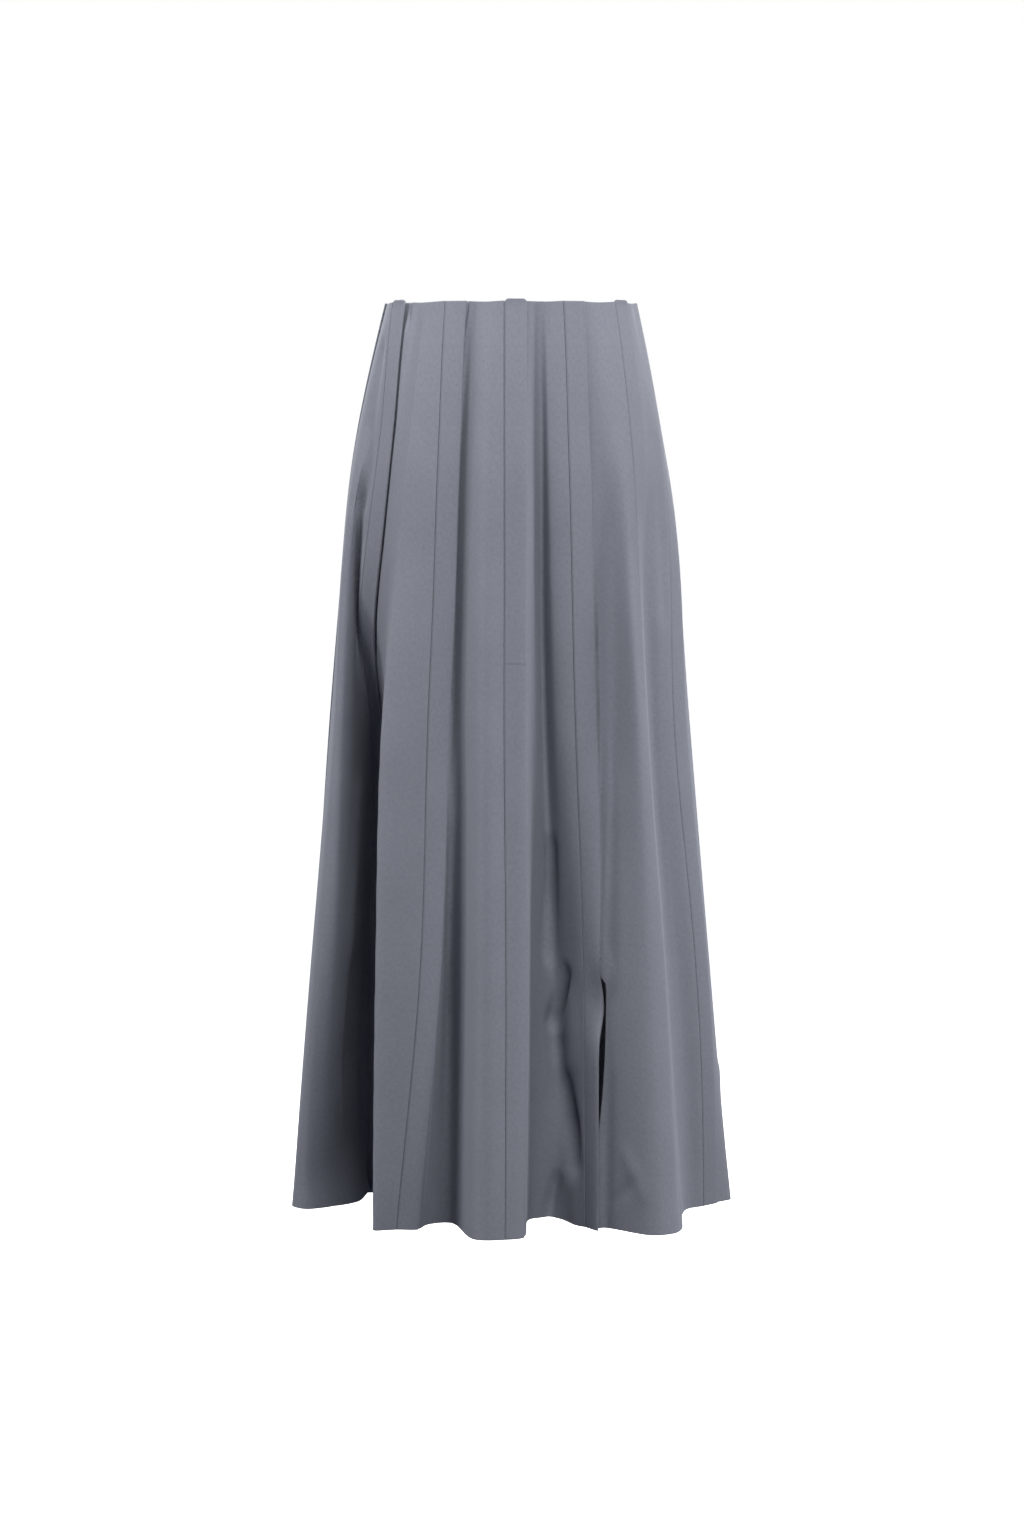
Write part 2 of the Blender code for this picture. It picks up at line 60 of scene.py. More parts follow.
# A row a seam: at each station its bearing, its share of the ellipse and the turn of its strip inward;
# and the hem's rise there.
seamColumns = ("bearings", "reaches", "turns", "lift")
seams = (
    ((-68.8, -62.4, -70.9, -102.4, -117.5, -127.1), (1.00, 0.95, 0.92, 0.81, 0.82, 0.84),
     (0, -9, 9, 41, 97, 76), 9),
    ((-31.0, -27.6, -27.1, -27.8, -28.1, -33.7), (1.00, 0.99, 0.98, 0.97, 0.95, 0.93),
     (4, 8, 12, 15, 0, 22), 0),
    ((-3.1, -2.5, -2.2, -2.1, -1.4, -1.4), (1.00, 1.02, 1.04, 1.06, 1.08, 1.11),
     (0, 2, 6, 10, 18, 28), 0),
    ((24.0, 22.1, 22.1, 22.7, 25.0, 25.9), (1.00, 0.96, 0.93, 0.90, 0.84, 0.76),
     (0, 0, -3, -8, -62, -74), 0),
    ((54.3, 48.4, 46.0, 45.6, 46.8, 44.7), (1.00, 1.02, 1.03, 1.04, 1.05, 1.09),
     (1, 8, 36, 46, 48, 48), 0),
    ((85.7, 80.5, 75.1, 70.7, 76.7, 92.6), (1.00, 0.98, 0.97, 0.95, 0.95, 0.89),
     (-1, 0, -15, -17, -24, -53), 0),
    ((119, 118, 118, 119, 121, 124), (1.00, 1.00, 1.01, 1.02, 1.03, 1.05),
     (0, 1, 3, 5, 9, 15), 0),
    ((148.5, 148, 148, 148, 149, 150), (1.00, 1.01, 1.02, 1.02, 1.04, 1.06),
     (0, 2, 5, 8, 13, 20), 0),
    ((176, 176, 176, 176.5, 177, 177), (1.00, 1.01, 1.02, 1.04, 1.06, 1.08),
     (0, 1, 4, 6, 10, 15), 0),
    ((201, 201, 200.5, 200, 199, 198), (1.00, 1.00, 1.01, 1.02, 1.03, 1.04),
     (0, 3, 6, 10, 16, 25), 0),
    ((228.5, 228, 227, 226, 222, 218), (1.00, 1.00, 1.00, 1.01, 1.01, 1.02),
     (0, 1, 3, 5, 9, 15), 0),
    ((256, 256, 255, 254, 248, 238), (1.00, 1.00, 1.00, 1.00, 1.00, 1.00),
     (0, -2, -5, -9, -14, -20), 0),
)

# A row a fold, in order round each gore: bearing and share of the ellipse at each station, the flat
# width of its bend at the hem, and the hem's rise.
foldColumns = ("gore", "bearings", "reaches", "flat", "lift")
folds = (
    (0, (-51.3, -47.1, -51.1, -62.9, -76.1, -76.7), (0.95, 0.98, 0.94, 0.78, 0.61, 0.58), 0, 2),
    (0, (-42.7, -40.3, -42.3, -42.1, -40.4, -39.1), (0.99, 1.01, 1.01, 1.05, 1.03, 0.98), 10, 0),
    (1, (-18.3, -21.5, -23.0, -23.9, -22.4, -30.9), (0.97, 0.89, 0.85, 0.82, 0.88, 0.71), 0, 0),
    (1, (-15.5, -17.2, -18.4, -19.6, -26.2, -27.3), (0.99, 0.93, 0.90, 0.86, 0.70, 0.62), 0, 0),
    (1, (-10.8, -9.3, -8.8, -8.3, -7.9, -8.0), (1.00, 1.03, 1.07, 1.10, 1.11, 1.12), 0, 0),
    (2, (9.9, 8.9, 8.4, 8.7, 8.7, 10.8), (1.00, 0.95, 0.92, 0.87, 0.75, 0.52), 0, 3),
    (2, (13.0, 13.3, 14.3, 15.9, 21.1, 23.2), (0.98, 0.85, 0.73, 0.66, 0.58, 0.54), 0, 3),
    (2, (15.5, 14.6, 15.3, 17.4, 23.4, 25.1), (1.00, 0.94, 0.88, 0.82, 0.70, 0.68), 0, 0),
    (3, (41.8, 36.6, 38.1, 38.1, 31.1, 29.7), (1.00, 1.01, 0.95, 0.89, 0.90, 0.83), 0, 0),
    (3, (48.0, 42.4, 40.1, 38.8, 36.3, 33.1), (1.00, 1.02, 1.06, 1.10, 1.12, 1.15), 0, 0),
    (3, (50.5, 45.7, 43.9, 43.1, 42.5, 38.8), (1.00, 1.02, 1.04, 1.07, 1.11, 1.16), 0, 0),
    (4, (72.0, 65.7, 61.7, 61.2, 65.3, 69.6), (1.00, 0.98, 0.91, 0.88, 0.87, 0.84), 0, 0),
    (4, (77.6, 72.4, 67.4, 65.0, 69.8, 86.3), (0.99, 0.98, 0.95, 0.91, 0.88, 0.82), 0, 0),
    (5, (106.6, 105.6, 104.2, 101.7, 105.5, 106.5), (1.01, 1.00, 1.01, 1.01, 1.03, 1.08), 0, 0),
    (5, (112, 111, 110.5, 110, 113, 119), (1.00, 0.98, 0.94, 0.89, 0.83, 0.76), 10, 0),
    (6, (136, 135.5, 135.5, 135.5, 135, 133), (1.00, 0.97, 0.92, 0.87, 0.79, 0.70), 16, 0),
    (6, (143, 142, 142, 142.5, 143, 144), (1.00, 1.01, 1.03, 1.05, 1.08, 1.12), 14, 0),
    (7, (164.5, 164, 164, 164, 163.5, 162), (1.00, 0.95, 0.89, 0.84, 0.77, 0.70), 20, 0),
    (7, (170.5, 170.5, 170.5, 170.5, 170.5, 170.5), (1.00, 1.02, 1.04, 1.06, 1.09, 1.12), 14, 0),
    (8, (190.5, 190.5, 190, 189.5, 188.5, 187), (1.00, 0.96, 0.91, 0.86, 0.77, 0.68), 18, 0),
    (8, (196, 196, 195.5, 195, 194.5, 193.5), (1.00, 1.01, 1.03, 1.05, 1.08, 1.11), 14, 0),
    (9, (217, 216.5, 215.5, 214, 211, 206), (1.00, 0.95, 0.88, 0.82, 0.75, 0.68), 16, 0),
    (9, (223, 222.5, 221.5, 220, 217, 212), (1.00, 1.01, 1.02, 1.04, 1.06, 1.09), 14, 0),
    (10, (245, 243.5, 241.5, 240, 235, 229), (1.00, 0.98, 0.95, 0.93, 0.90, 0.87), 8, 0),
    (10, (250.5, 249.5, 248, 247, 241.5, 234.5), (1.00, 1.01, 1.01, 1.02, 1.03, 1.05), 8, 0),
    (11, (274.9, 273.1, 274.7, 277.2, 274.9, 267.0), (1.00, 1.01, 1.02, 1.01, 1.02, 1.02), 0, 0),
    (11, (281.1, 282.4, 283.3, 286.7, 286.7, 272.4), (1.00, 1.00, 1.02, 1.01, 1.01, 0.95), 0, 0),
    (11, (284.8, 287.5, 284.3, 287.0, 287.9, 266.5), (1.00, 0.99, 0.98, 0.97, 0.94, 0.88), 0, 0),
    (11, (288.0, 291.9, 275.2, 264.8, 264.9, 249.1), (1.00, 0.97, 0.91, 0.86, 0.82, 0.82), 0, 0),
)
goreCount = len(seams)
slitSeam = 3
joinedSeam = 2                   # its strip is joined from two lengths


def ellipsePoint(bearing, reach, depth):
    hip = math.sin(math.pi / 2 * min(depth / garment["hipDrop"], 1.0))
    fall = depth / garment["length"]
    halfWidth = garment["waistHalfWidth"] + garment["hipWider"] * hip + garment["hemWider"] * fall
    halfDepth = garment["waistHalfDepth"] + garment["hipDeeper"] * hip + garment["hemDeeper"] * fall
    angle = math.radians(bearing)
    return np.array([halfWidth * reach * math.sin(angle), -halfDepth * reach * math.cos(angle)])


def hermite(t, start, end, slopeStart, slopeEnd):
    return ((2 * t**3 - 3 * t**2 + 1) * start + (t**3 - 2 * t**2 + t) * slopeStart
            + (3 * t**2 - 2 * t**3) * end + (t**3 - t**2) * slopeEnd)


def ease(share):
    share = np.clip(share, 0.0, 1.0)
    return share * share * (3.0 - 2.0 * share)


def window(place, start, end, soft):
    # 1 between two places, fading to 0 over a soft distance past each
    return ease((place - start) / soft + 1.0) * ease((end - place) / soft + 1.0)


def atStation(values, depth):
    stations = garment["stations"]
    rises = np.diff(values) / np.diff(stations)
    slopes = [rises[0], *((rises[1:] + rises[:-1]) / 2), rises[-1]]
    span = max(k for k in range(len(stations) - 1) if depth >= stations[k])
    step = stations[span + 1] - stations[span]
    t = (depth - stations[span]) / step
    return hermite(t, values[span], values[span + 1], step * slopes[span], step * slopes[span + 1])


def goreMarks(gore, depth):
    seam = dict(zip(seamColumns, seams[gore]))
    fall = depth / garment["length"]

    def mark(row):
        x, y = ellipsePoint(atStation(row["bearings"], depth), atStation(row["reaches"], depth), depth)
        return np.array([x, y, row["lift"] * fall ** garment["hemDraw"]])

    seamMark = mark(seam)
    start = atStation(seam["bearings"], depth)
    lap = math.degrees(strip["width"] / np.linalg.norm(ellipsePoint(start + 90.0, 1.0, depth)))
    chord = ellipsePoint(start + lap, 1.0, depth) - ellipsePoint(start, 1.0, depth)
    heading = math.atan2(chord[1], chord[0]) + math.radians(atStation(seam["turns"], depth))
    stripEdge = seamMark + strip["width"] * np.array([math.cos(heading), math.sin(heading), 0.0])

    rows = [dict(zip(foldColumns, row)) for row in folds if row[0] == gore]
    bends = [mark(row) for row in rows]
    marks = [seamMark, stripEdge]
    for row, bend in zip(rows, bends):
        if row["flat"]:
            across = (bends[-1] - stripEdge) / np.linalg.norm(bends[-1] - stripEdge)
            half = across * row["flat"] / 2 * max(fall, garment["leastFlat"])
            marks += [bend - half, bend + half]
        else:
            marks.append(bend)
    return marks


def section(depth):
    # closed curve round the skirt at a depth, the running length along it and the place of each seam
    marks, seamMarks = [], []
    for gore in range(goreCount):
        seamMarks.append(len(marks))
        marks += goreMarks(gore, depth)
    points = np.array(marks)
    before, after = np.roll(points, 1, axis=0), np.roll(points, -1, axis=0)
    span = np.linalg.norm(after - points, axis=1)[:, None] ** 0.5
    spanBefore = np.roll(span, 1, axis=0)
    pull = (points - before) / spanBefore - (after - before) / (spanBefore + span) + (after - points) / span
    pullAfter = np.roll(pull, -1, axis=0)
    steps = garment["chainSteps"]
    curve = [hermite(step / steps, points, after, span * pull, span * pullAfter) for step in range(steps)]
    curve = np.stack(curve, axis=1).reshape(-1, 3)
    curve = np.vstack([curve, curve[:1]])
    lengths = np.concatenate([[0.0], np.cumsum(np.linalg.norm(np.diff(curve[:, :2], axis=0), axis=1))])
    return curve, lengths, lengths[np.array(seamMarks) * steps]


sections = {}


def sectionAt(depth):
    key = round(max(depth, 0.0), 3)
    if key not in sections:
        sections[key] = section(key)
    return sections[key]


def goreWidth(gore, depth):
    curve, lengths, places = sectionAt(depth)
    return (places[(gore + 1) % goreCount] - places[gore]) % lengths[-1]


def clothRow(gore, along, depth):
    curve, lengths, places = sectionAt(depth)
    place = (places[gore] + along) % lengths[-1]
    x, y, lift = (np.interp(place, lengths, curve[:, axis]) for axis in range(3))
    return np.stack([x, y, lift - depth], axis=-1)


def clothGrid(gore, along, depths):
    # points of the cloth's own level and its outward directions, for distances past the gore's seam
    reach = 1.5                  # how far to each side a direction is measured
    rows = range(len(depths))
    points = np.stack([clothRow(gore, along[row], depths[row]) for row in rows])
    ahead = np.stack([clothRow(gore, along[row] + reach, depths[row]) for row in rows])
    behind = np.stack([clothRow(gore, along[row] - reach, depths[row]) for row in rows])
    down = np.gradient(points, np.array(depths), axis=0)
    normals = np.cross(down, ahead - behind)
    return points, normals / np.linalg.norm(normals, axis=-1, keepdims=True)


# Creases and sharp hollows that the folds leave: from one place to another on a gore,
# each place as millimetres past its seam and depth, with the half width and the height of the crease.
creaseColumns = ("gore", "start", "end", "width", "rise")
creases = (
    (2, (91, 545), (92, 656), 6.5, -9.0),
    (2, (116, 674), (103, 724), 7.0, -12.0),
    (2, (103, 724), (113, 772), 8.0, -6.0),
    (2, (121, 788), (143, 866), 11.0, -16.0),
    (2, (122, 888), (122, 936), 6.0, -8.0),
    (2, (128, 700), (132, 760), 9.0, 3.0),
    (3, (62, 850), (88, 890), 8.0, 1.6),
    (3, (50, 900), (76, 878), 6.0, -1.4),
    (4, (50, 140), (58, 310), 10.0, -4.0),
    (4, (118, 860), (140, 905), 7.0, 1.8),
    (11, (150, 500), (161, 820), 13.0, 7.0),
    (11, (180, 690), (184, 864), 24.0, -14.0),
    (11, (140, 942), (214, 942), 34.0, 18.0),
    (11, (58, 50), (72, 200), 12.0, -6.0),
    (5, (70, 240), (96, 420), 12.0, -5.0),
    (5, (150, 700), (132, 830), 10.0, -6.0),
    (5, (60, 790), (84, 880), 8.0, 3.5),
    (6, (44, 300), (66, 470), 9.0, -4.0),
    (6, (150, 640), (176, 800), 12.0, -7.0),
    (6, (176, 800), (168, 900), 8.0, -4.0),
    (7, (40, 420), (52, 560), 8.0, 3.0),
    (7, (120, 720), (142, 860), 11.0, -6.0),
    (8, (60, 250), (74, 390), 8.0, -3.5),
    (8, (96, 600), (120, 780), 11.0, -6.5),
    (8, (46, 850), (70, 905), 7.0, 2.5),
    (9, (52, 380), (64, 540), 9.0, -4.0),
    (9, (128, 760), (110, 880), 9.0, -6.0),
    (10, (40, 300), (48, 470), 8.0, -3.0),
    (10, (58, 700), (76, 850), 9.0, -5.0),
)

# Hollows beside a strip's free edge: depths between which each runs, the distance over which it fades
# past them, its width and how far it sinks.
ditchColumns = ("gore", "top", "bottom", "soft", "width", "sink")
ditches = (
    (0, -40.0, 6.0, 26.0, 8.0, 4.0),
    (0, 30.0, 330.0, 40.0, 2.4, 2.0),
    (1, 10.0, 400.0, 60.0, 2.8, 2.4),
    (3, 350.0, 660.0, 80.0, 6.0, 3.5),
)
creasing = {
    "endLoss": 0.45,             # share of its height that a crease loses towards each end
    "rim": 0.75,                 # share of a hollow's width at which its far side starts to rise
}


def creased(gore, along, depths):
    # height of a gore's creases and hollows over the cloth's own level
    height = np.zeros_like(along)
    down = np.repeat(depths[:, None], along.shape[1], axis=1)
    for row in creases:
        crease = dict(zip(creaseColumns, row))
        if crease["gore"] != gore:
            continue
        start, run = np.array(crease["start"]), np.array(crease["end"]) - np.array(crease["start"])
        share = ((along - start[0]) * run[0] + (down - start[1]) * run[1]) / (run @ run)
        near = np.clip(share, 0.0, 1.0)
        away = np.hypot(along - start[0] - near * run[0], down - start[1] - near * run[1])
        body = 1.0 - creasing["endLoss"] * np.abs(2.0 * near - 1.0)
        height += crease["rise"] * body * np.exp(-(away / crease["width"]) ** 2)
    for row in ditches:
        ditch = dict(zip(ditchColumns, row))
        if ditch["gore"] != gore:
            continue
        past = (along - strip["width"]) / ditch["width"]
        floor = 1.0 - ease((past - creasing["rim"]) / (1.0 - creasing["rim"]))
        height -= ditch["sink"] * window(down, ditch["top"], ditch["bottom"], ditch["soft"]) * floor
    return height


edgeSteps = 3                    # facets of each rounded edge


def roundEdge(radius):
    # distances in from an edge and the drop below the face there, along a quarter round
    angles = [math.pi / 2 * step / edgeSteps for step in range(edgeSteps + 1)]
    return [(radius * (1.0 - math.cos(angle)), radius * (1.0 - math.sin(angle))) for angle in angles]


class Wire:                      # a socket that takes part in sums, and makes the nodes round it
    def __init__(self, tree, socket=None):
        self.tree = tree
        self.socket = socket

    def node(self, kind, settings=None, inputs=None, output=0):
        made = self.tree.nodes.new("ShaderNode" + kind)
        for name, value in (settings or {}).items():
            setattr(made, name, value)
        for name, value in (inputs or {}).items():
            if isinstance(value, Wire):
                self.tree.links.new(value.socket, made.inputs[name])
            else:
                made.inputs[name].default_value = value
        return Wire(self.tree, made.outputs[output])

    def maths(self, operation, first, second=0.0):
        return self.node("Math", {"operation": operation}, {0: first, 1: second})

    def __add__(self, other):
        return self.maths("ADD", self, other)

    __radd__ = __add__

    def __sub__(self, other):
        return self.maths("SUBTRACT", self, other)

    def __rsub__(self, other):
        return self.maths("SUBTRACT", other, self)

    def __mul__(self, other):
        return self.maths("MULTIPLY", self, other)

    __rmul__ = __mul__

    def sine(self):
        return self.maths("SINE", self)

    def away(self, place):
        return self.maths("ABSOLUTE", self - place)

    def step(self, low, high):
        return self.node("MapRange", {"interpolation_type": "SMOOTHSTEP"},
                         {"Value": self, "From Min": low, "From Max": high})

    def noise(self, scale, stretch=(1.0, 1.0, 1.0), detail=2.0, roughness=0.6):
        place = self.node("Mapping", inputs={"Vector": self, "Scale": stretch})
        return self.node("TexNoise", inputs={"Vector": place, "Scale": scale, "Detail": detail,
                                             "Roughness": roughness})

    def mix(self, first, second):
        return self.node("Mix", {"data_type": "RGBA"}, {0: self, 6: first, 7: second}, output=2)


def newMaterial(name, surface):
    material = bpy.data.materials.new(name)
    material.use_nodes = True
    tree = material.node_tree
    shader = tree.nodes["Principled BSDF"]
    for socket, value in surface.items():
        shader.inputs[socket].default_value = value
    return material, Wire(tree), shader


def feed(wire, shader, values):
    for socket, value in values.items():
        wire.tree.links.new(value.socket, shader.inputs[socket])


def clothMaterial(name, finish):
    material, wire, shader = newMaterial(name, finish["surface"])
    spread = wire.node("UVMap", {"uv_map": "cloth"})
    across = wire.node("SeparateXYZ", inputs={0: spread}, output=0)
    down = wire.node("SeparateXYZ", inputs={0: spread}, output=1)

    # heathering: fine flecks drawn out along the warp, thicker yarns, and a slow cloudiness of the dye
    flecks = spread.noise(finish["fleckScale"], finish["fleckStretch"], finish["detail"])
    slubs = spread.noise(finish["slubScale"], finish["slubStretch"], finish["detail"])
    clouds = spread.noise(finish["cloudScale"])
    turn = 2 * math.pi / finish["threadPitch"]
    twill = ((across + down) * turn).sine() * 0.5 + 0.5
    warp = (across * turn * 2.0).sine() * 0.5 + 0.5
    shade = (flecks - 0.5) * finish["fleckDepth"] + (slubs - 0.5) * finish["slubDepth"] \
        + (clouds - 0.5) * finish["cloudDepth"] + (twill - 0.5) * finish["twillDepth"] + 0.5
    relief = twill * finish["twillRelief"] + warp * finish["warpRelief"] \
        + flecks * finish["fleckRelief"] + slubs * finish["slubRelief"]
    for sewn in finish["sewing"]:      # a sunken row of stitches: from the edge, or across at a depth
        side, length = (down, across) if sewn["level"] else (across, down)
        row = 1.0 - side.away(sewn["place"]).step(sewn["half"], sewn["half"] * 2.0)
        dashes = (length * (2 * math.pi / sewn["pitch"])).sine().step(*finish["dashEdges"])
        shade = shade - row * dashes * sewn["dark"]
        relief = relief - row * sewn["sink"]
    colour = shade.mix((*finish["dark"], 1.0), (*finish["light"], 1.0))
    bump = wire.node("Bump", inputs={"Height": relief, "Strength": finish["reliefStrength"],
                                     "Distance": finish["reliefDepth"]})
    roughness = finish["roughness"] + (flecks - 0.5) * finish["roughnessSpread"]
    feed(wire, shader, {"Base Color": colour, "Normal": bump, "Roughness": roughness})
    return material


# rows of sewing, in metres: along a strip's edge, and across the strip that is joined from two lengths
edgeStitch = {"level": False, "place": 0.0016, "half": 0.0003, "pitch": 0.0028, "dark": 0.55, "sink": 1.6}
joinMark = {"level": True, "place": -0.359, "half": 0.0007, "pitch": 0.5, "dark": 0.22, "sink": 2.0}
suiting = {
    "surface": {"Specular IOR Level": 0.35, "Sheen Weight": 0.22, "Sheen Roughness": 0.45,
                "Sheen Tint": (0.75, 0.8, 0.9, 1.0)},
    "dark": (0.150, 0.158, 0.186),
    "light": (0.262, 0.274, 0.318),
    "fleckStretch": (2.2, 0.55, 1.0),
    "fleckScale": 620.0,
    "fleckDepth": 0.7,
    "fleckRelief": 0.5,
    "slubStretch": (1.0, 0.7, 1.0),
    "slubScale": 300.0,
    "slubDepth": 0.6,
    "slubRelief": 0.4,
    "detail": 3.0,
    "cloudScale": 14.0,
    "cloudDepth": 0.3,
    "threadPitch": 0.0009,
    "twillDepth": 0.10,
    "twillRelief": 0.6,
    "warpRelief": 0.25,
    "dashEdges": (-0.6, 0.2),    # where in its turn a stitch shows
    "reliefStrength": 0.35,
    "reliefDepth": 0.00012,
    "roughness": 0.78,
    "roughnessSpread": 0.18,
    "sewing": (),
}
pressed = dict(suiting, dark=(0.146, 0.154, 0.182), light=(0.256, 0.268, 0.312), sewing=(edgeStitch,))
joined = dict(pressed, sewing=(edgeStitch, joinMark))
clothOfGores = clothMaterial("suiting", suiting)
clothOfStrips = clothMaterial("pressedSuiting", pressed)
clothOfJoinedStrip = clothMaterial("joinedSuiting", joined)
print("cloth materials ready")


def thickSheet(name, outer, inner, spread, material):
    # closed wall between two grids of points: a bmesh grid, extruded and moved to place
    rows, columns = outer.shape[:2]
    form = bmesh.new()
    bmesh.ops.create_grid(form, x_segments=columns - 1, y_segments=rows - 1, size=1.0)
    place = form.verts.layers.int.new("place")
    for index, vertex in enumerate(form.verts):
        vertex[place] = index
    back = bmesh.ops.extrude_face_region(form, geom=list(form.faces), use_keep_orig=True)
    behind = {item for item in back["geom"] if isinstance(item, bmesh.types.BMVert)}
    both = (outer.reshape(-1, 3) * mm, inner.reshape(-1, 3) * mm)
    for vertex in form.verts:
        vertex.co = both[vertex in behind][vertex[place]]
    flat = spread.reshape(-1, 2) * mm
    uv = form.loops.layers.uv.new("cloth")
    for face in form.faces:
        face.smooth = True
        for loop in face.loops:
            loop[uv].uv = flat[loop.vert[place]]
    bmesh.ops.recalc_face_normals(form, faces=list(form.faces))
    if form.calc_volume(signed=True) < 0.0:
        bmesh.ops.reverse_faces(form, faces=list(form.faces))
    form.verts.layers.int.remove(place)
    return pieceFrom(name, form, material)


def pieceFrom(name, form, material, sharpAngle=60.0):
    mesh = bpy.data.meshes.new(name)
    form.to_mesh(mesh)
    form.free()
    mesh.set_sharp_from_angle(angle=math.radians(sharpAngle))
    mesh.materials.append(material)
    piece = bpy.data.objects.new(name, mesh)
    bpy.context.scene.collection.objects.link(piece)
    return piece


def rowDepths(top, radius):
    # depths of the rows: rounded top edge, even rows, rounded hem edge, each with its drop
    arc = roundEdge(radius)
    bottom = garment["length"]
    even = np.linspace(top + 2 * radius, bottom - 2 * radius, panel["rows"])
    rows = [(top + inward, drop) for inward, drop in arc]
    rows += [(depth, 0.0) for depth in even]
    rows += [(bottom - inward, drop) for inward, drop in reversed(arc)]
    return np.array(rows)


panel = {
    "wall": 1.5,
    "edgeRadius": 0.6,
    "rows": 140,
    "lapUnder": 2.5,             # the cloth goes on this far under the gore before it
    "underStrip": 6,             # columns hidden under the strip
    "columns": 64,               # and in front of it
    "crowding": 1.5,             # power by which the columns crowd beside the strip
    "waistSag": 0.8,             # the waist edge sags this far between two seams
    "sagFade": 60.0,
    "hemTurnUp": 32.0,           # the hem is turned up inside this far
    "hemWall": 0.8,
    "hemStep": 2.0,              # distance over which the wall thickens there
    "innerRound": 0.9,           # share of the edge's rounding that the inner face has
    "edgeCalm": 10.0,            # creases fade over this far towards the next seam
}

strip = {
    "wall": 2.0,
    "width": 23.0,
    "rise": 1.9,                 # every second strip stands this far above the waist edge
    "cornerRadius": 4.5,
    "edgeRadius": 0.85,
    "columns": 8,
}

slit = {
    "top": 640.0,
    "kick": 1.0,                 # how far the free edge stands off at the hem
    "flare": -12.0,              # and how far it leans in where the slit opens
    "flareDepth": 702.0,
    "flareSpread": 30.0,
    "opens": 684.0,              # from here down the gore beside the strip starts clear of its seam,
    "opening": 43.0,             # by this much, and by less at the hem
    "openingSoft": 50.0,
    "hemOpening": 31.0,
}

seamGap = 0.3


def slitStand(along, depth):
    # how far the free strip stands off the cloth beside the slit, most at its edge
    flare = slit["flare"] * math.exp(-((depth - slit["flareDepth"]) / slit["flareSpread"]) ** 2)
    kick = slit["kick"] * max(depth - slit["top"], 0.0) / (garment["length"] - slit["top"])
    return (kick + flare) * along / strip["width"]


def slitClearance(depths):
    # how far past its seam the gore beside the slit starts
    fall = np.clip((depths - slit["opens"]) / (garment["length"] - slit["opens"]), 0.0, 1.0)
    clear = slit["opening"] + (slit["hemOpening"] - slit["opening"]) * fall ** 2
    return clear * ease((depths - slit["opens"]) / slit["openingSoft"] + 1.0)


def goreColumns(gore, depths, widths):
    # distances of a gore's columns past its seam, and their drop at its rounded far edge
    lap, radius = panel["lapUnder"], panel["edgeRadius"]
    under = np.linspace(-lap, strip["width"], panel["underStrip"], endpoint=False)[None, :]
    shares = np.linspace(0.0, 1.0, panel["columns"])[None, :]
    shares = (shares + shares ** panel["crowding"]) / 2
    beside = strip["width"] + (widths - 2 * radius - strip["width"]) * shares
    arc = roundEdge(radius)[::-1]
    last = np.concatenate([widths - inward for inward, fall in arc], axis=1)
    along = np.concatenate([np.repeat(under, len(depths), axis=0), beside, last], axis=1)
    drop = np.zeros_like(along)
    drop[:, -len(arc):] = [fall for inward, fall in arc]
    if gore == slitSeam:
        along = along + slitClearance(depths)[:, None] * (1.0 - (along + lap) / (widths + lap))
    return along, drop


def buildGore(gore):
    rows = rowDepths(0.0, panel["edgeRadius"])
    depths, edgeDrop = rows[:, 0], rows[:, 1]
    widths = np.array([goreWidth(gore, depth) for depth in depths])[:, None]
    along, drop = goreColumns(gore, depths, widths)
    drop = np.maximum(drop, edgeDrop[:, None])
    points, normals = clothGrid(gore, along, depths)
    share = (along - strip["width"]) / (widths - strip["width"])
    calm = ease((widths - along) / panel["edgeCalm"])
    top = (ease(share) - 1.0) * (strip["wall"] + seamGap) + creased(gore, along, depths) * calm
    sag = panel["waistSag"] * np.sin(math.pi * np.clip(share, 0.0, 1.0)) \
        * (1.0 - ease(depths / panel["sagFade"]))[:, None]
    points[..., 2] -= sag
    hem = ease((depths - garment["length"] + panel["hemTurnUp"]) / panel["hemStep"])[:, None]
    wall = panel["wall"] + hem * panel["hemWall"] - drop * panel["innerRound"]
    outer = points + (top - drop)[..., None] * normals
    inner = points + (top - wall)[..., None] * normals
    spread = np.stack([along - widths / 2, -np.repeat(depths[:, None], along.shape[1], axis=1)], axis=-1)
    piece = thickSheet(f"panel_{gore + 1:02d}", outer, inner, spread, clothOfGores)
    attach(piece, "root")
    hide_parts(f"gore_{gore + 1:02d}")


